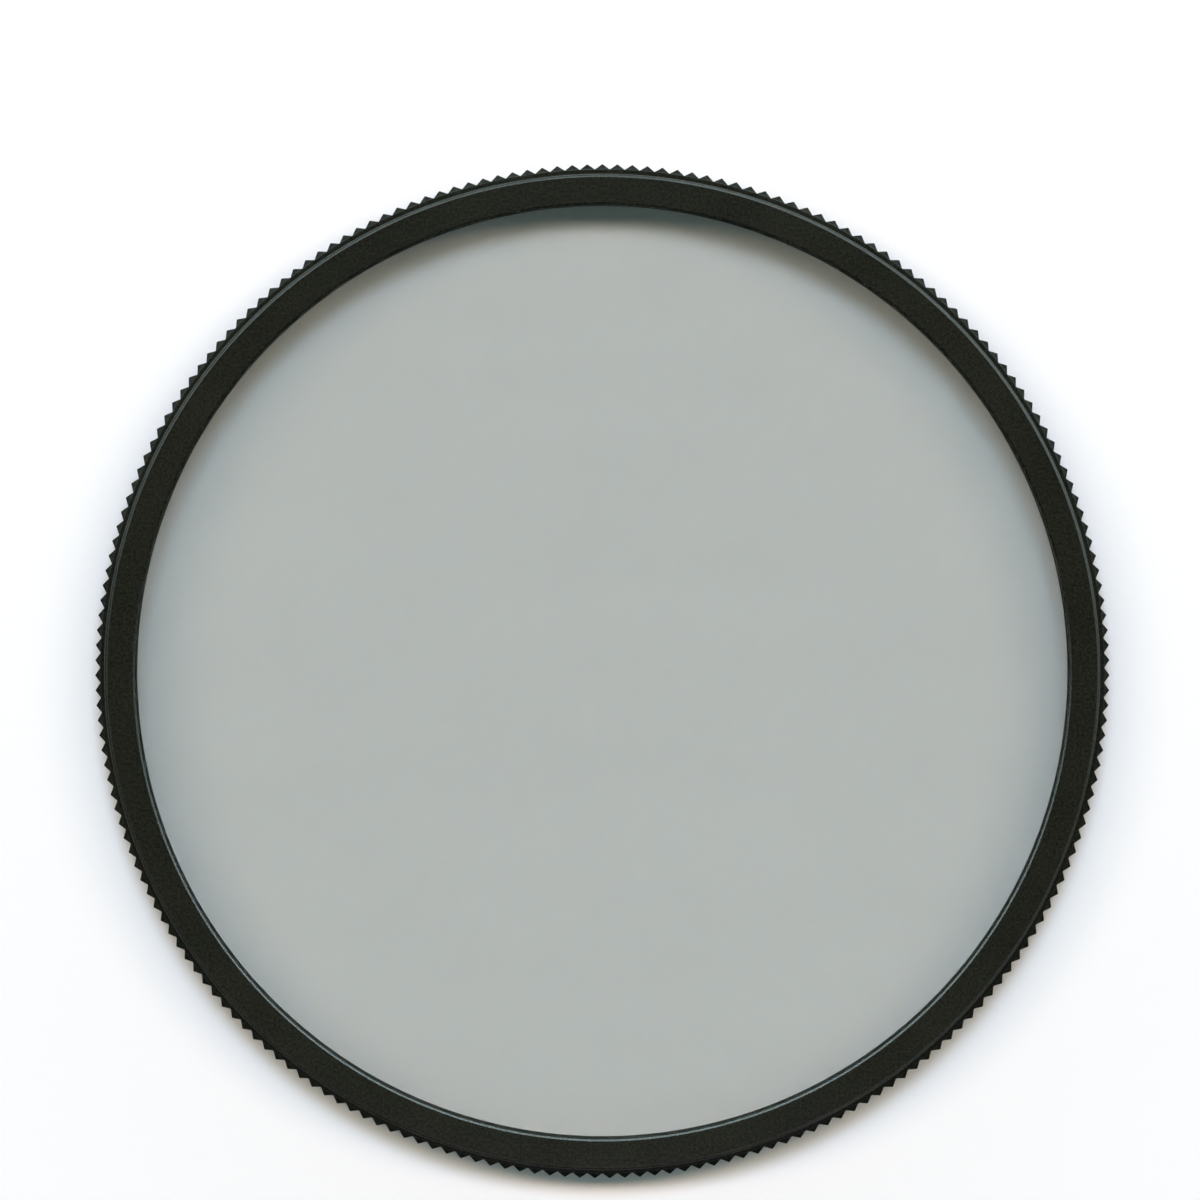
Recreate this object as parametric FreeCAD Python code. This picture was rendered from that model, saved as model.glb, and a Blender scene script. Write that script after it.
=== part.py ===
"""Slim circular polarising filter with a 77 mm lens thread.

The filter lies on its front rim, lens side up, and +Z is the optical axis towards the lens.
A fixed mount ring screws into the lens, and a knurled ring that holds the glass turns on it.
All sizes are in millimetres.
"""

import FreeCAD, Part
import math
import os

# Mount ring: the thread that goes into the lens, and the flange that seats on the lens rim
THREAD_D = 77.0
THREAD_LENGTH = 2.4
THREAD_LEAD_CHAMFER = 0.35
MOUNT_WALL = 2.4
MOUNT_BORE_CHAMFER = 0.24
FLANGE_OVERHANG = 0.4
FLANGE_THICKNESS = 0.75

# Collar of the mount ring, which the knurled ring turns on
COLLAR_STEP = 0.65
COLLAR_LENGTH = 1.2
RUNNING_CLEARANCE = 0.05
END_PLAY = 0.05

# Split snap ring of flat spring wire that keeps the two rings together
SNAP_RING_WIDTH = 0.4
SNAP_RING_THICKNESS = 0.4
SNAP_RING_SPLIT = 5.0
SNAP_RING_SEAT_DEPTH = 0.2
SNAP_RING_SEAT_CLEARANCE = 0.02
SNAP_RING_SIDE_PLAY = 0.05
SNAP_RING_FOLD_ROOM = 0.05

# Knurled ring
TOOTH_COUNT = 211
TOOTH_DEPTH = 0.42
TOOTH_END_BEVEL = 0.25
KNURL_WALL = 0.81
FRONT_MOUTH_CHAMFER = 0.2
POCKET_WALL = 1.27
LIP_WIDTH = 1.15
LIP_THICKNESS = 0.4

# Cemented filter glass, front to rear
GLASS_THICKNESS = 0.85
POLARISER_THICKNESS = 0.2
RETARDER_THICKNESS = 0.1
GLASS_CLEARANCE = 0.1

# Threaded ring that holds the glass in from the front
RETAINER_RECESS = 0.4
RETAINER_THICKNESS = 0.8
RETAINER_WIDTH = 1.05
RETAINER_CLEARANCE = 0.05
SPANNER_SLOT_WIDTH = 1.2
SPANNER_SLOT_DEPTH = 0.4
SPANNER_SLOT_COUNT = 2

# Radii
thread_r = THREAD_D / 2
mount_bore_r = thread_r - MOUNT_WALL
flange_r = thread_r + FLANGE_OVERHANG
collar_r = thread_r - COLLAR_STEP
collar_groove_r = collar_r - SNAP_RING_WIDTH - SNAP_RING_FOLD_ROOM
ring_bore_r = collar_r + RUNNING_CLEARANCE
ring_relief_r = ring_bore_r + SNAP_RING_SEAT_DEPTH
snap_ring_r = ring_relief_r - SNAP_RING_SEAT_CLEARANCE
root_r = ring_relief_r + KNURL_WALL
tip_r = root_r + TOOTH_DEPTH
pocket_r = root_r - POCKET_WALL
lip_r = pocket_r - LIP_WIDTH
glass_r = pocket_r - GLASS_CLEARANCE
retainer_r = pocket_r - RETAINER_CLEARANCE

# Heights, from the front rim up to the end of the lens thread
front_glass_z = RETAINER_RECESS + RETAINER_THICKNESS
polariser_z = front_glass_z + GLASS_THICKNESS
retarder_z = polariser_z + POLARISER_THICKNESS
rear_glass_z = retarder_z + RETARDER_THICKNESS
lip_z = rear_glass_z + GLASS_THICKNESS
ring_floor_z = lip_z + LIP_THICKNESS
collar_z = ring_floor_z + END_PLAY
flange_z = collar_z + COLLAR_LENGTH
ring_top_z = flange_z - END_PLAY
seat_z = flange_z + FLANGE_THICKNESS
end_z = seat_z + THREAD_LENGTH
groove_z = (collar_z + flange_z) / 2
groove_half = SNAP_RING_THICKNESS / 2 + SNAP_RING_SIDE_PLAY


def turned(profile, angle=360):
    """A solid turned about the optical axis from an outline of (radius, height) points."""
    points = [FreeCAD.Vector(r, 0, z) for r, z in profile]
    face = Part.Face(Part.makePolygon(points + points[:1]))
    return face.revolve(FreeCAD.Vector(0, 0, 0), FreeCAD.Vector(0, 0, 1), angle)


def polar(radius, angle, z):
    """A point at a radius, an angle in radians and a height."""
    return FreeCAD.Vector(radius * math.cos(angle), radius * math.sin(angle), z)


def flat_face(corners):
    """A plane face with straight edges."""
    return Part.Face(Part.makePolygon(corners + corners[:1]))


def mount_ring():
    """The fixed ring: lens thread, seating flange and the grooved collar under it."""
    return turned([
        (mount_bore_r, collar_z),
        (collar_r, collar_z),
        (collar_r, groove_z - groove_half),
        (collar_groove_r, groove_z - groove_half),
        (collar_groove_r, groove_z + groove_half),
        (collar_r, groove_z + groove_half),
        (collar_r, flange_z),
        (flange_r, flange_z),
        (flange_r, seat_z),
        (thread_r, seat_z),
        (thread_r, end_z - THREAD_LEAD_CHAMFER),
        (thread_r - THREAD_LEAD_CHAMFER, end_z),
        (mount_bore_r + MOUNT_BORE_CHAMFER, end_z),
        (mount_bore_r, end_z - MOUNT_BORE_CHAMFER),
    ])


def toothed_disc():
    """A disc with straight V teeth, one tip on +Y, bevelled at both ends of each tooth."""
    pitch = 2 * math.pi / TOOTH_COUNT
    middles = [math.pi / 2 + tooth * pitch for tooth in range(TOOTH_COUNT)]
    faces = []
    for middle in middles:
        low_left, high_left = [polar(root_r, middle - pitch / 2, z) for z in (0, ring_top_z)]
        low_right, high_right = [polar(root_r, middle + pitch / 2, z) for z in (0, ring_top_z)]
        low_tip = polar(tip_r, middle, TOOTH_END_BEVEL)
        high_tip = polar(tip_r, middle, ring_top_z - TOOTH_END_BEVEL)
        faces.append(flat_face([low_left, low_tip, high_tip, high_left]))
        faces.append(flat_face([low_tip, low_right, high_right, high_tip]))
        faces.append(flat_face([high_left, high_tip, high_right]))
        faces.append(flat_face([low_left, low_right, low_tip]))
    for z in (0, ring_top_z):
        faces.append(flat_face([polar(root_r, middle + pitch / 2, z) for middle in middles]))
    shell = Part.makeShell(faces)
    shell.sewShape()
    return Part.makeSolid(shell)


def knurled_ring():
    """The turning ring: knurl outside, glass pocket in front, bearing bore behind."""
    cavity = turned([
        (0, 0),
        (pocket_r + FRONT_MOUTH_CHAMFER, 0),
        (pocket_r, FRONT_MOUTH_CHAMFER),
        (pocket_r, lip_z),
        (lip_r, lip_z),
        (lip_r, ring_floor_z),
        (ring_relief_r, ring_floor_z),
        (ring_relief_r, groove_z + groove_half),
        (ring_bore_r, groove_z + groove_half),
        (ring_bore_r, ring_top_z),
        (0, ring_top_z),
    ])
    return toothed_disc().cut(cavity)


def snap_ring():
    """The split ring, sprung out under the knurled ring's shoulder, with its split on -Y."""
    low_z = groove_z - SNAP_RING_THICKNESS / 2
    high_z = groove_z + SNAP_RING_THICKNESS / 2
    inner_r = snap_ring_r - SNAP_RING_WIDTH
    split = 2 * math.degrees(math.asin(SNAP_RING_SPLIT / (2 * snap_ring_r)))
    ring = turned(
        [(inner_r, low_z), (snap_ring_r, low_z), (snap_ring_r, high_z), (inner_r, high_z)],
        360 - split)
    ring.rotate(FreeCAD.Vector(0, 0, 0), FreeCAD.Vector(0, 0, 1), split / 2 - 90)
    return ring


def disc(base_z, thickness):
    """One flat layer of the cemented glass."""
    return Part.makeCylinder(glass_r, thickness, FreeCAD.Vector(0, 0, base_z))


def glass_retainer():
    """The ring that screws in behind the front rim, with slots for a spanner."""
    inner_r = retainer_r - RETAINER_WIDTH
    ring = turned([
        (inner_r, RETAINER_RECESS),
        (retainer_r, RETAINER_RECESS),
        (retainer_r, front_glass_z),
        (inner_r, front_glass_z),
    ])
    for slot in range(SPANNER_SLOT_COUNT):
        cut = Part.makeBox(
            2 * RETAINER_WIDTH + RETAINER_CLEARANCE, SPANNER_SLOT_WIDTH, SPANNER_SLOT_DEPTH,
            FreeCAD.Vector(inner_r - RETAINER_WIDTH, -SPANNER_SLOT_WIDTH / 2, RETAINER_RECESS))
        turn = 360 * slot / SPANNER_SLOT_COUNT
        cut.rotate(FreeCAD.Vector(0, 0, 0), FreeCAD.Vector(0, 0, 1), turn)
        ring = ring.cut(cut)
    return ring


pieces = {
    "rear_mount_ring": mount_ring(),
    "rotating_ring": knurled_ring(),
    "snap_ring": snap_ring(),
    "glass_retaining_ring": glass_retainer(),
    "front_glass": disc(front_glass_z, GLASS_THICKNESS),
    "polarising_film": disc(polariser_z, POLARISER_THICKNESS),
    "quarter_wave_film": disc(retarder_z, RETARDER_THICKNESS),
    "rear_glass": disc(rear_glass_z, GLASS_THICKNESS),
}

os.makedirs("parts", exist_ok=True)
for name, shape in pieces.items():
    shape.exportStep("parts/" + name + ".step")
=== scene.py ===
"""Looks of a slim circular polarising filter that lies on its front rim, lens side up.

The two rings, the glass retainer and the cemented glass are remade here with the thread form, rounded
teeth and broken edges that the solids leave out. Sizes in the code are millimetres, the scene is in metres.
"""

import math

import bmesh
import bpy
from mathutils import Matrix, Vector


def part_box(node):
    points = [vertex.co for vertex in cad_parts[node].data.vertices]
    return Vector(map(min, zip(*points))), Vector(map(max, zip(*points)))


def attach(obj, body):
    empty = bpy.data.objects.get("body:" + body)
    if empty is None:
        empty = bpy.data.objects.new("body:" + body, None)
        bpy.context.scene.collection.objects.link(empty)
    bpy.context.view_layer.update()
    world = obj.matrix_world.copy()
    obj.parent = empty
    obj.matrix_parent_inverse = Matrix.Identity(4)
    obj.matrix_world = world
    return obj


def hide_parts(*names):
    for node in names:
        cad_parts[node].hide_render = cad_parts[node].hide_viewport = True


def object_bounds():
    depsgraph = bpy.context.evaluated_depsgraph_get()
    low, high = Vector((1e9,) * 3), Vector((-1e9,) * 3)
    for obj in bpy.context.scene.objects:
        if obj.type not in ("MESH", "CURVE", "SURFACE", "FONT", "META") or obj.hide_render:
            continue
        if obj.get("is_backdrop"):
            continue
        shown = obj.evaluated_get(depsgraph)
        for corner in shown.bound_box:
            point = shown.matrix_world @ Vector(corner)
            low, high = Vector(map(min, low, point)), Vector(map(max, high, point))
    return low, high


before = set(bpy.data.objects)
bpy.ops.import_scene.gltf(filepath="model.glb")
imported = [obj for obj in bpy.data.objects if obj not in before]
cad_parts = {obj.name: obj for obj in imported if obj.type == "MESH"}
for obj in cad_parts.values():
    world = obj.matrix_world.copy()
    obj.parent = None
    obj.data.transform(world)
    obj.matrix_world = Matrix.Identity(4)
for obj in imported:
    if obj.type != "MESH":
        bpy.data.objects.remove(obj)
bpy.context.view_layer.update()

MM = 0.001

# Mount ring: lens thread, seating flange and grooved collar
THREAD_R = 38.5
THREAD_PITCH = 0.75
THREAD_DEPTH = 0.406
THREAD_ROW = 0.025
THREAD_LEAD = 0.27
THREAD_RUN_IN = 0.1
THREAD_RUN_OUT = 1.2
THREAD_FIRST_CREST = 8.05
# Shares of the pitch: half of the crest's flat and one flank, and of the depth: the crest's rounding
CREST_HALF = 1 / 16
FLANK = 5 / 16
CREST_ROUNDING = 0.3
RELIEF_R = 38.06
RELIEF_TOP = 5.85
MOUNT_BORE_R = 36.1
MOUNT_BORE_CHAMFER = 0.15
MOUNT_BASE = 3.65
MOUNT_END = 8.0
COLLAR_R = 37.85
COLLAR_GROOVE_R = 37.4
COLLAR_GROOVE = (4.0, 4.5)
FLANGE_R = 38.9
FLANGE = (4.85, 5.6)
FLANGE_EDGE_BREAK = 0.02
MOUNT_COLUMNS = 480

# Knurled ring
TOOTH_COUNT = 211
TOOTH_DEPTH = 0.42
TOOTH_BEVEL = 0.25
TIP_ROUNDING = 0.08
ROOT_R = 38.91
RING_TOP = 4.8
RING_FLOOR = 3.6
LIP_R = 36.49
LIP_Z = 3.2
POCKET_R = 37.64
MOUTH_CHAMFER = 0.2
RING_BORE_R = 37.9
RING_RELIEF_R = 38.1
RING_SHOULDER = 4.5

# Glass, films and the ring that holds them
GLASS_R = 37.54
GLASS_EDGE_BEVEL = 0.1
CEMENT_LINE = 0.01
GLASS_COLUMNS = 256
RETAINER = (36.54, 37.59)
RETAINER_Z = (0.4, 1.2)
RETAINER_COLUMNS = 360
SPANNER_SLOT_WIDTH = 1.2
SPANNER_SLOT_DEPTH = 0.4

# Edges, and the radii between which the finish changes from the bore to its edge and on to the face
EDGE_BREAK = 0.06
SHARP_ANGLE = math.radians(28)
BLASTED_R = (36.105, 36.12)
BURNISHED_R = (36.25, 36.27)

# Floor and sky, in metres and in strengths of light
FLOOR_HALF = 3.0
FLOOR_FADE = (0.05, 1.35)
FLOOR_LIFT = (0.06, 0.97)
HORIZON_NARROWING = 20.0
HORIZON_STRENGTH = 50.0
SKY_STRENGTH = 0.06
LAMP_SIDE = (-0.28, 0.8)

# Photograph's frame: its width and centre at the mount ring's end face, and the camera's lean in degrees
FRAME_WIDTH = 92.64
FRAME_CENTRE = (-0.18, 5.57)
CAMERA_DISTANCE = 800.0
CAMERA_LEAN = 0.5
SENSOR_WIDTH = 36.0


def linear(code):
    """An sRGB hex colour as linear red, green, blue and alpha."""
    shares = [int(code[i:i + 2], 16) / 255 for i in (1, 3, 5)]
    return [s / 12.92 if s <= 0.04045 else ((s + 0.055) / 1.055) ** 2.4 for s in shares] + [1.0]


def add(tree, kind, values=None, links=None, **settings):
    """One node: its own settings, the values of its sockets, and the outputs that feed its sockets."""
    node = tree.nodes.new(kind)
    for name, value in settings.items():
        setattr(node, name, value)
    for name, value in (values or {}).items():
        node.inputs[name].default_value = value
    for name, output in (links or {}).items():
        tree.links.new(output, node.inputs[name])
    return node


def new_material(name):
    """An empty material, its node tree and its output node."""
    material = bpy.data.materials.new(name)
    material.use_nodes = True
    material.node_tree.nodes.clear()
    return material, material.node_tree, add(material.node_tree, "ShaderNodeOutputMaterial")


def per_mm(size):
    """The texture scale that gives features of a size in millimetres."""
    return 1 / (size * MM)


def turned_coordinates(tree):
    """The place, the place across a turned pattern that runs round the ring, and the radius."""
    place = add(tree, "ShaderNodeTexCoord").outputs["Object"]
    parts = add(tree, "ShaderNodeSeparateXYZ", links={"Vector": place})
    flat = add(tree, "ShaderNodeCombineXYZ", links={"X": parts.outputs["X"], "Y": parts.outputs["Y"]})
    radius = add(tree, "ShaderNodeVectorMath", links={0: flat.outputs[0]}, operation="LENGTH")
    across = add(tree, "ShaderNodeCombineXYZ", links={"X": radius.outputs["Value"], "Y": parts.outputs["Z"]})
    return place, across.outputs[0], radius.outputs["Value"]


def black_anodised_aluminium():
    """Aluminium turned on a lathe, etched matt and dyed black in a sulphuric anodising bath.

    The eye gets a satin olive-black with a fine etched grain, faint rings from the tool, pale edges where
    the light comes in low, and dull bores that throw no glare into the lens.
    """
    material, tree, output = new_material("black_anodised_turned_aluminium")
    place, across, radius = turned_coordinates(tree)
    # The etch grain is about 0.05 mm on the real surface, and is drawn at 0.2 mm so that it shows
    grain = add(
        tree, "ShaderNodeTexNoise", {"Scale": per_mm(0.2), "Detail": 3.0, "Roughness": 0.6},
        {"Vector": place})
    cloud = add(tree, "ShaderNodeTexNoise", {"Scale": per_mm(6.0), "Detail": 2.0}, {"Vector": place})
    # Tool rings are about 0.08 mm apart, and are drawn at 0.3 mm so that they show
    rings = add(
        tree, "ShaderNodeTexNoise", {"Scale": per_mm(0.3), "Detail": 2.0}, {"Vector": across},
        noise_dimensions="2D")
    dye = add(tree, "ShaderNodeMix", {"Factor": 0.12}, {"A": grain.outputs[0], "B": cloud.outputs[0]})
    shade = add(tree, "ShaderNodeValToRGB", links={"Fac": dye.outputs[0]})
    shade.color_ramp.elements[0].position = 0.38
    shade.color_ramp.elements[0].color = linear("#0a0c07")
    shade.color_ramp.elements[1].position = 0.62
    shade.color_ramp.elements[1].color = linear("#25271e")
    relief = add(
        tree, "ShaderNodeMath", links={0: grain.outputs[0], 1: rings.outputs[0]}, operation="ADD")
    gloss = add(
        tree, "ShaderNodeMapRange", {"From Min": 0.7, "From Max": 1.3, "To Min": 0.28, "To Max": 0.36},
        {"Value": relief.outputs[0]})
    # The tool leaves the bore's edge brighter than the face, and the bore itself is blasted dull
    gloss = add(
        tree, "ShaderNodeMapRange",
        {"From Min": BURNISHED_R[0] * MM, "From Max": BURNISHED_R[1] * MM, "To Min": 0.2},
        {"Value": radius, "To Max": gloss.outputs[0]})
    gloss = add(
        tree, "ShaderNodeMapRange",
        {"From Min": BLASTED_R[0] * MM, "From Max": BLASTED_R[1] * MM, "To Min": 0.95},
        {"Value": radius, "To Max": gloss.outputs[0]})
    bump = add(
        tree, "ShaderNodeBump", {"Strength": 0.5, "Distance": 0.01 * MM}, {"Height": relief.outputs[0]})
    metal = add(
        tree, "ShaderNodeBsdfPrincipled", {"IOR": 1.33, "Anisotropic": 0.6, "Anisotropic Rotation": 0.25},
        {"Base Color": shade.outputs[0], "Roughness": gloss.outputs[0], "Normal": bump.outputs[0],
         "Tangent": add(tree, "ShaderNodeTangent", direction_type="RADIAL", axis="Z").outputs[0]})
    tree.links.new(metal.outputs[0], output.inputs["Surface"])
    return material


def coated_optical_glass():
    """Polished optical glass with a multi-layer anti-reflection coating.

    The eye gets clear glass with almost no mirror image head on, and a faint cool green one at a low angle.
    """
    material, tree, output = new_material("polished_coated_optical_glass")
    through = add(tree, "ShaderNodeBsdfTransparent", {"Color": linear("#fefefe")})
    mirror = add(tree, "ShaderNodeBsdfGlossy", {"Color": linear("#cfe8dc"), "Roughness": 0.02})
    # A coated face mirrors about 1%, as bare glass of this lower index would, and nothing from its inner side
    index = add(
        tree, "ShaderNodeMapRange", {"To Min": 1.22, "To Max": 1.0},
        {"Value": add(tree, "ShaderNodeNewGeometry").outputs["Backfacing"]})
    share = add(tree, "ShaderNodeFresnel", links={"IOR": index.outputs[0]})
    face = add(
        tree, "ShaderNodeMixShader", links={0: share.outputs[0], 1: through.outputs[0], 2: mirror.outputs[0]})
    tree.links.new(face.outputs[0], output.inputs["Surface"])
    return material


def cemented_optical_glass():
    """The cemented side and the rim of the same glass, where nothing is mirrored.

    The eye gets no edge at all.
    """
    material, tree, output = new_material("cemented_optical_glass")
    through = add(tree, "ShaderNodeBsdfTransparent", {"Color": linear("#fefefe")})
    tree.links.new(through.outputs[0], output.inputs["Surface"])
    return material


def stretched_polariser():
    """Polarising film, dyed with iodine and stretched one way.

    The eye gets a neutral grey that holds back half of the light, with the faintest streaks along the
    stretch.
    """
    material, tree, output = new_material("stretched_polarising_film")
    place = add(tree, "ShaderNodeTexCoord").outputs["Object"]
    drawn = add(tree, "ShaderNodeMapping", {"Scale": (0.15, 1.0, 1.0)}, {"Vector": place})
    streaks = add(
        tree, "ShaderNodeTexNoise", {"Scale": per_mm(4.0), "Detail": 0.0}, {"Vector": drawn.outputs[0]})
    tint = add(tree, "ShaderNodeValToRGB", links={"Fac": streaks.outputs[0]})
    tint.color_ramp.elements[0].color = linear("#dbdedc")
    tint.color_ramp.elements[1].color = linear("#dcdfdd")
    film = add(tree, "ShaderNodeBsdfTransparent", links={"Color": tint.outputs[0]})
    tree.links.new(film.outputs[0], output.inputs["Surface"])
    return material


def clear_retarder():
    """Quarter-wave film. The eye gets a clear layer with a trace of grey."""
    material, tree, output = new_material("clear_quarter_wave_film")
    film = add(tree, "ShaderNodeBsdfTransparent", {"Color": linear("#fdfdfd")})
    tree.links.new(film.outputs[0], output.inputs["Surface"])
    return material


def spring_steel():
    """Drawn spring wire, rolled flat. The eye gets a grey metal with streaks along the wire."""
    material, tree, output = new_material("drawn_spring_steel")
    across = turned_coordinates(tree)[1]
    drawn = add(
        tree, "ShaderNodeTexNoise", {"Scale": per_mm(0.1), "Detail": 2.0}, {"Vector": across},
        noise_dimensions="2D")
    shade = add(tree, "ShaderNodeValToRGB", links={"Fac": drawn.outputs[0]})
    shade.color_ramp.elements[0].color = linear("#8b8a87")
    shade.color_ramp.elements[1].color = linear("#b4b3b0")
    gloss = add(
        tree, "ShaderNodeMapRange", {"To Min": 0.25, "To Max": 0.4}, {"Value": drawn.outputs[0]})
    metal = add(
        tree, "ShaderNodeBsdfPrincipled", {"Metallic": 1.0},
        {"Base Color": shade.outputs[0], "Roughness": gloss.outputs[0]})
    tree.links.new(metal.outputs[0], output.inputs["Surface"])
    return material


def finished(name, vertices, faces, material, body, node):
    """A piece with clean normals and its broken edges kept crisp, which stands for a solid on its body."""
    mesh = bpy.data.meshes.new(name)
    mesh.from_pydata([(x * MM, y * MM, z * MM) for x, y, z in vertices], [], faces)
    work = bmesh.new()
    work.from_mesh(mesh)
    bmesh.ops.recalc_face_normals(work, faces=work.faces)
    work.to_mesh(mesh)
    work.free()
    mesh.shade_smooth()
    mesh.set_sharp_from_angle(angle=SHARP_ANGLE)
    mesh.materials.append(material)
    piece = bpy.data.objects.new(name, mesh)
    bpy.context.scene.collection.objects.link(piece)
    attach(piece, body)
    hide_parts(node)
    return piece


def round_points(angle, section):
    """The points of a section, given as radius and height, at one angle about the axis."""
    return [(r * math.cos(angle), r * math.sin(angle), z) for r, z in section]


def turned_ring(columns):
    """Vertices and faces of a closed ring from (angle, section) columns with sections of equal length."""
    size = len(columns[0][1])
    vertices = [point for angle, section in columns for point in round_points(angle, section)]
    faces = []
    for column in range(len(columns)):
        here, there = column * size, (column + 1) % len(columns) * size
        for row in range(size):
            up = (row + 1) % size
            faces.append((here + row, there + row, there + up, here + up))
    return vertices, faces


def thread_radius(z, angle):
    """The right-hand lens thread, cut back by the lead-in at its end and run out into the relief."""
    climb = (z - THREAD_FIRST_CREST) / THREAD_PITCH - (angle / (2 * math.pi) - 0.25)
    off_crest = abs((climb + 0.5) % 1 - 0.5)
    cut = min((off_crest - CREST_HALF) / FLANK, 1)
    if cut < CREST_ROUNDING:
        cut = (cut + CREST_ROUNDING) ** 2 / (4 * CREST_ROUNDING)
    run_in = min(max((MOUNT_END - z) / THREAD_RUN_IN - 0.5, 0), 1)
    lead = THREAD_R - THREAD_LEAD + (MOUNT_END - z)
    run_out = RELIEF_R + THREAD_RUN_OUT * (z - RELIEF_TOP)
    return min(THREAD_R - THREAD_DEPTH * cut * run_in, lead, run_out)


def mount_section(angle):
    """The mount ring's section, from the bore round the collar, flange and thread to the end face."""
    flange_low, seat = FLANGE
    groove_low, groove_high = COLLAR_GROOVE
    below = [
        (MOUNT_BORE_R, MOUNT_BASE + EDGE_BREAK),
        (MOUNT_BORE_R + EDGE_BREAK, MOUNT_BASE),
        (COLLAR_R - EDGE_BREAK, MOUNT_BASE),
        (COLLAR_R, MOUNT_BASE + EDGE_BREAK),
        (COLLAR_R, groove_low),
        (COLLAR_GROOVE_R, groove_low),
        (COLLAR_GROOVE_R, groove_high),
        (COLLAR_R, groove_high),
        (COLLAR_R, flange_low),
        (FLANGE_R - EDGE_BREAK, flange_low),
        (FLANGE_R, flange_low + EDGE_BREAK),
        (FLANGE_R, seat - FLANGE_EDGE_BREAK),
        (FLANGE_R - FLANGE_EDGE_BREAK, seat),
        (RELIEF_R, seat),
    ]
    rows = round((MOUNT_END - RELIEF_TOP) / THREAD_ROW)
    heights = [RELIEF_TOP + row * THREAD_ROW for row in range(rows + 1)]
    thread = [(thread_radius(z, angle), z) for z in heights]
    end = [(MOUNT_BORE_R + MOUNT_BORE_CHAMFER, MOUNT_END), (MOUNT_BORE_R, MOUNT_END - MOUNT_BORE_CHAMFER)]
    return below + thread + end


def tooth_outline():
    """One tooth as (share of the pitch, height above the root): a sharp valley and a rounded tip."""
    half = math.pi * ROOT_R / TOOTH_COUNT
    slope = math.atan2(half, TOOTH_DEPTH)
    reach = TIP_ROUNDING * math.cos(slope)
    centre = TOOTH_DEPTH - TIP_ROUNDING / math.sin(slope)
    outline = [(0.0, 0.0)]
    for step in (-1, -0.5, 0, 0.5, 1):
        along = step * reach
        outline.append((0.5 + along / (2 * half), centre + math.sqrt(TIP_ROUNDING ** 2 - along ** 2)))
    return outline


def knurled_section(height):
    """The knurled ring's section where its teeth stand this high above the root."""
    bevel = TOOTH_BEVEL * height / TOOTH_DEPTH
    return [
        (ROOT_R, 0),
        (ROOT_R + height, bevel),
        (ROOT_R + height, RING_TOP - bevel),
        (ROOT_R, RING_TOP),
        (RING_BORE_R + EDGE_BREAK, RING_TOP),
        (RING_BORE_R, RING_TOP - EDGE_BREAK),
        (RING_BORE_R, RING_SHOULDER),
        (RING_RELIEF_R, RING_SHOULDER),
        (RING_RELIEF_R, RING_FLOOR),
        (LIP_R + EDGE_BREAK, RING_FLOOR),
        (LIP_R, RING_FLOOR - EDGE_BREAK),
        (LIP_R, LIP_Z),
        (POCKET_R, LIP_Z),
        (POCKET_R, MOUTH_CHAMFER),
        (POCKET_R + MOUTH_CHAMFER, 0),
    ]


def retainer_section(slotted):
    """The glass retainer's section, whole or through a spanner slot."""
    inner, outer = RETAINER
    low, high = RETAINER_Z
    if slotted:
        low += SPANNER_SLOT_DEPTH
    return [
        (inner, low + EDGE_BREAK),
        (inner + EDGE_BREAK, low),
        (outer - EDGE_BREAK, low),
        (outer, low + EDGE_BREAK),
        (outer, high),
        (inner, high),
    ]


def retainer_columns():
    """Columns of the retainer, doubled at the walls of its two spanner slots on X."""
    half = math.asin(SPANNER_SLOT_WIDTH / (RETAINER[0] + RETAINER[1]))
    wall = 1e-5
    columns = []
    for middle in (0, math.pi):
        for angle, slotted in ((-half - wall, False), (-half, True), (half, True), (half + wall, False)):
            columns.append(((middle + angle) % (2 * math.pi), slotted))
    for column in range(RETAINER_COLUMNS):
        angle = 2 * math.pi * (column + 0.5) / RETAINER_COLUMNS
        from_slot = min(angle % math.pi, math.pi - angle % math.pi)
        if abs(from_slot - half) > 2 * wall:
            columns.append((angle, from_slot < half))
    return [(angle, retainer_section(slotted)) for angle, slotted in sorted(columns)]


def disc_mesh(low, high, radius, bevel):
    """Vertices and faces of a flat round layer with a ground bevel on both edges."""
    section = [(radius - bevel, low), (radius, low + bevel), (radius, high - bevel), (radius - bevel, high)]
    if bevel == 0:
        section = [(radius, low), (radius, high)]
    size = len(section)
    vertices = []
    faces = []
    for column in range(GLASS_COLUMNS):
        vertices += round_points(2 * math.pi * column / GLASS_COLUMNS, section)
        here, there = column * size, (column + 1) % GLASS_COLUMNS * size
        for row in range(size - 1):
            faces.append((here + row, there + row, there + row + 1, here + row + 1))
    faces.append([column * size for column in range(GLASS_COLUMNS)])
    faces.append([column * size + size - 1 for column in range(GLASS_COLUMNS)])
    return vertices, faces


anodised = black_anodised_aluminium()
glass = coated_optical_glass()
cemented = cemented_optical_glass()
polariser = stretched_polariser()
retarder = clear_retarder()

# Rings
angles = [2 * math.pi * column / MOUNT_COLUMNS for column in range(MOUNT_COLUMNS)]
vertices, faces = turned_ring([(angle, mount_section(angle)) for angle in angles])
finished("mount_ring", vertices, faces, anodised, "mount", "rear_mount_ring")

pitch = 2 * math.pi / TOOTH_COUNT
columns = []
for tooth in range(TOOTH_COUNT):
    for share, height in tooth_outline():
        columns.append((math.pi / 2 + (tooth - 0.5 + share) * pitch, knurled_section(height)))
vertices, faces = turned_ring(columns)
finished("knurled_ring", vertices, faces, anodised, "rotating", "rotating_ring")

vertices, faces = turned_ring(retainer_columns())
finished("glass_retainer", vertices, faces, anodised, "rotating", "glass_retaining_ring")

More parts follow.
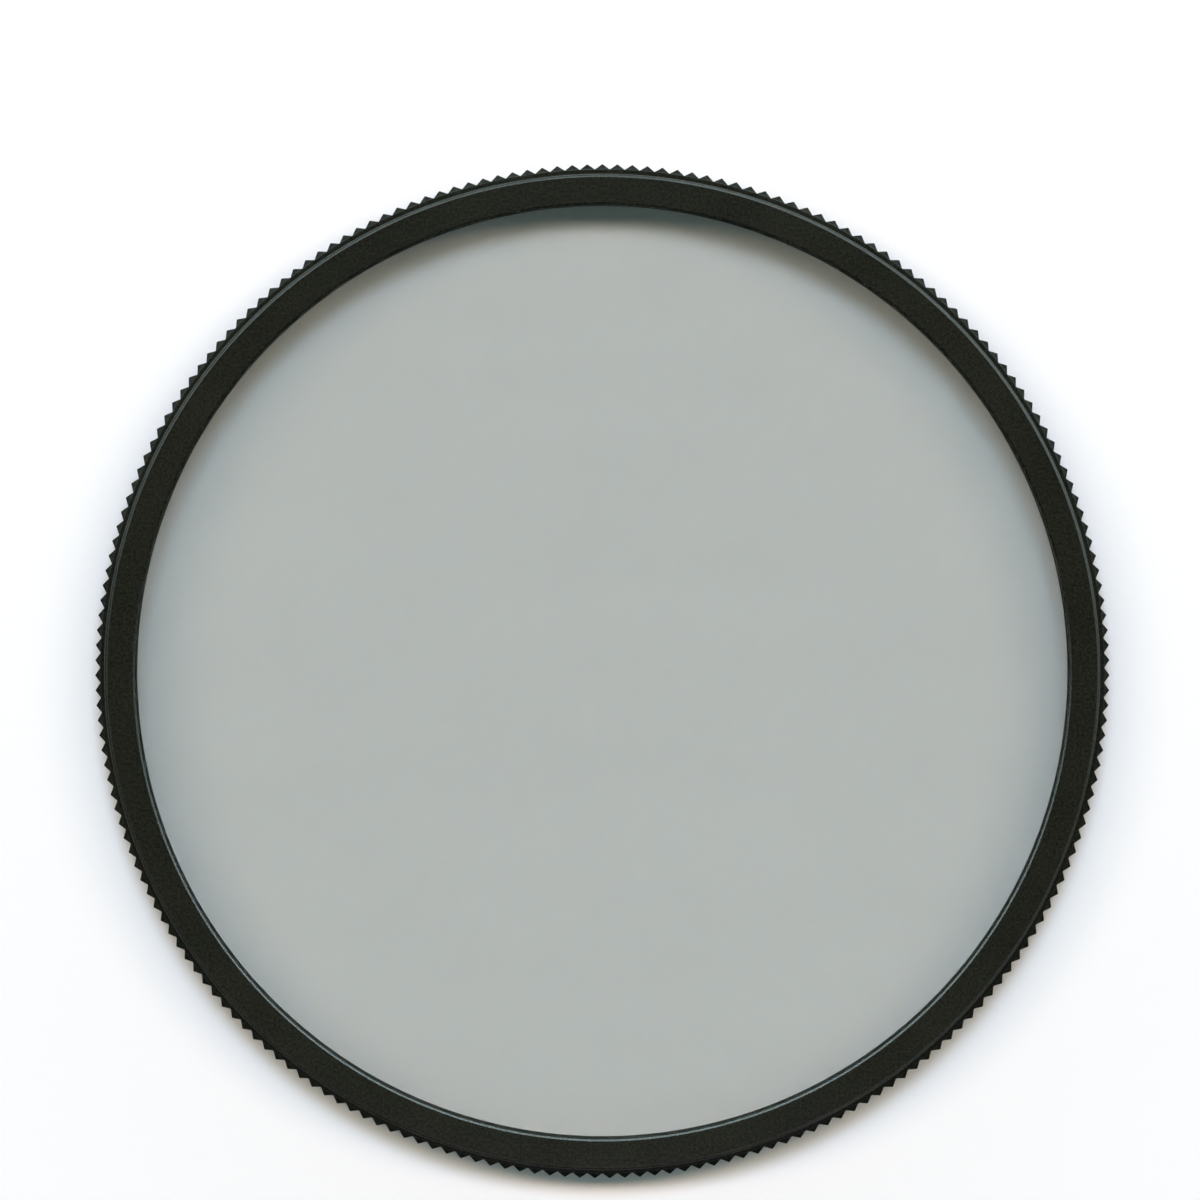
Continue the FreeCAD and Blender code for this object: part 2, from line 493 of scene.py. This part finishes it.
# Cemented glass, with a hair of cement between the layers
layers = (
    ("front_filter_glass", "front_glass", "coated_glass", glass, -1),
    ("polariser_layer", "polarising_film", "polariser", polariser, 0),
    ("quarter_wave_layer", "quarter_wave_film", "retarder", retarder, 0),
    ("rear_filter_glass", "rear_glass", "coated_glass", glass, 1),
)
for name, node, slot, material, open_side in layers:
    low, high = (corner.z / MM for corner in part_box(node))
    bevel = GLASS_EDGE_BEVEL * abs(open_side)
    vertices, faces = disc_mesh(low + CEMENT_LINE / 2, high - CEMENT_LINE / 2, GLASS_R, bevel)
    layer = finished(name, vertices, faces, material, "rotating", node)
    # The layers cast no shadow, so that what is seen through them is dimmed once
    layer.visible_shadow = False
    layer.visible_diffuse = False
    if open_side:
        layer.data.materials.append(cemented)
        for face in layer.data.polygons:
            face.material_index = 0 if face.normal.z * open_side > 0.9 else 1

# The snap ring is right as it is
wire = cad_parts["snap_ring"]
wire.data.materials.clear()
wire.data.materials.append(spring_steel())

# Floor: white card that keeps the shadow, with a little of its own light to reach the photograph's white,
# and more of it away from the object, where the lamps fade
card, tree, output = new_material("white_card")
path = add(tree, "ShaderNodeLightPath")
seen = add(
    tree, "ShaderNodeMath", links={0: path.outputs["Is Camera Ray"], 1: path.outputs["Is Glossy Ray"]},
    operation="MAXIMUM")
seen = add(
    tree, "ShaderNodeMath", links={0: seen.outputs[0], 1: path.outputs["Is Transmission Ray"]},
    operation="MAXIMUM")
place = add(tree, "ShaderNodeTexCoord").outputs["Object"]
away = add(tree, "ShaderNodeVectorMath", links={0: place}, operation="LENGTH")
lift = add(
    tree, "ShaderNodeMapRange",
    {"From Min": FLOOR_FADE[0], "From Max": FLOOR_FADE[1], "To Min": FLOOR_LIFT[0], "To Max": FLOOR_LIFT[1]},
    {"Value": away.outputs["Value"]})
lift = add(tree, "ShaderNodeMath", links={0: lift.outputs[0], 1: seen.outputs[0]}, operation="MULTIPLY")
paper = add(
    tree, "ShaderNodeBsdfPrincipled",
    {"Base Color": linear("#f7f7f7"), "Roughness": 0.9, "Specular IOR Level": 0.0,
     "Emission Color": linear("#ffffff")},
    {"Emission Strength": lift.outputs[0]})
tree.links.new(paper.outputs[0], output.inputs["Surface"])
floor_mesh = bpy.data.meshes.new("floor")
corners = [(x * FLOOR_HALF, y * FLOOR_HALF, 0) for x, y in ((-1, -1), (1, -1), (1, 1), (-1, 1))]
floor_mesh.from_pydata(corners, [], [(0, 1, 2, 3)])
floor_mesh.materials.append(card)
floor = bpy.data.objects.new("floor", floor_mesh)
bpy.context.scene.collection.objects.link(floor)
floor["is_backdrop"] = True

# World: a pale horizon on the lamp's side, dim above and behind, and plain white to the camera
world = bpy.data.worlds.new("studio")
bpy.context.scene.world = world
world.use_nodes = True
tree = world.node_tree
tree.nodes.clear()
direction = add(tree, "ShaderNodeTexCoord").outputs["Generated"]
direction = add(tree, "ShaderNodeSeparateXYZ", links={0: direction})
off_horizon = add(tree, "ShaderNodeMath", links={0: direction.outputs["Z"]}, operation="ABSOLUTE")
low_sky = add(tree, "ShaderNodeMath", {0: 1.0}, {1: off_horizon.outputs[0]}, operation="SUBTRACT")
low_sky = add(tree, "ShaderNodeMath", {1: HORIZON_NARROWING}, {0: low_sky.outputs[0]}, operation="POWER")
height = add(
    tree, "ShaderNodeMath", {1: HORIZON_STRENGTH, 2: SKY_STRENGTH}, {0: low_sky.outputs[0]},
    operation="MULTIPLY_ADD")
side = add(
    tree, "ShaderNodeMapRange",
    {"From Min": LAMP_SIDE[0], "From Max": LAMP_SIDE[1], "To Min": 0.01, "To Max": 1.0},
    {"Value": direction.outputs["Y"]}, interpolation_type="SMOOTHSTEP")
fill = add(tree, "ShaderNodeMath", links={0: height.outputs[0], 1: side.outputs[0]}, operation="MULTIPLY")
fill = add(tree, "ShaderNodeBackground", {"Color": linear("#daf3f7")}, {"Strength": fill.outputs[0]})
white = add(tree, "ShaderNodeBackground", {"Color": linear("#ffffff"), "Strength": 1.0})
seen = add(tree, "ShaderNodeLightPath").outputs["Is Camera Ray"]
sky = add(tree, "ShaderNodeMixShader", links={0: seen, 1: fill.outputs[0], 2: white.outputs[0]})
tree.links.new(sky.outputs[0], add(tree, "ShaderNodeOutputWorld").inputs["Surface"])


def soft_box(name, size, distance, lean, power, colour, glint=False):
    """A lamp that leans some degrees from straight above towards +Y, and lights things or only glints."""
    lean = math.radians(lean)
    lamp = bpy.data.lights.new(name, "AREA")
    lamp.shape = "RECTANGLE"
    lamp.size, lamp.size_y = size
    lamp.energy = power
    lamp.color = linear(colour)[:3]
    box = bpy.data.objects.new(name, lamp)
    box.location = (0, distance * math.sin(lean), distance * math.cos(lean))
    box.rotation_euler = (-lean, 0, 0)
    box.visible_camera = False
    box.visible_diffuse = not glint
    box.visible_glossy = glint
    bpy.context.scene.collection.objects.link(box)


# A wide warm strip and a narrow cool box, both from a little above the top of the picture, which add up to
# white, and a weak soft box overhead for the shadows
soft_box("wide_strip", (1.8, 0.168), distance=1.2, lean=11.5, power=12.0, colour="#ffe3cb")
soft_box("narrow_box", (0.3, 0.168), distance=1.2, lean=14.5, power=6.6, colour="#c0ddff")
soft_box("overhead", (1.5, 1.5), distance=1.5, lean=0, power=4.6, colour="#c8f4ee")
# A glint that the turned face catches at the bottom of the picture and a little at the top
soft_box("glint", (0.147, 0.168), distance=1.2, lean=-11, power=0.25, colour="#ffffff", glint=True)

# Camera almost straight above, with the picture's top towards +Y
camera_data = bpy.data.cameras.new("camera")
camera_data.sensor_width = SENSOR_WIDTH
camera_data.lens = SENSOR_WIDTH * CAMERA_DISTANCE / FRAME_WIDTH
camera = bpy.data.objects.new("camera", camera_data)
lean = math.radians(CAMERA_LEAN)
camera.location = (
    FRAME_CENTRE[0] * MM,
    (FRAME_CENTRE[1] + CAMERA_DISTANCE * math.sin(lean)) * MM,
    (MOUNT_END + CAMERA_DISTANCE * math.cos(lean)) * MM,
)
camera.rotation_euler = (-lean, 0, 0)
bpy.context.scene.collection.objects.link(camera)
bpy.context.scene.camera = camera

bpy.context.scene.view_settings.view_transform = "Standard"
# Sight crosses eight clear faces on its way down, a few lamps need no sorting, and black metal soon
# swallows light
cycles = bpy.context.scene.cycles
cycles.transparent_max_bounces = 24
cycles.use_light_tree = False
cycles.max_bounces = 4
cycles.diffuse_bounces = 1
cycles.glossy_bounces = 2

low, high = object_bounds()
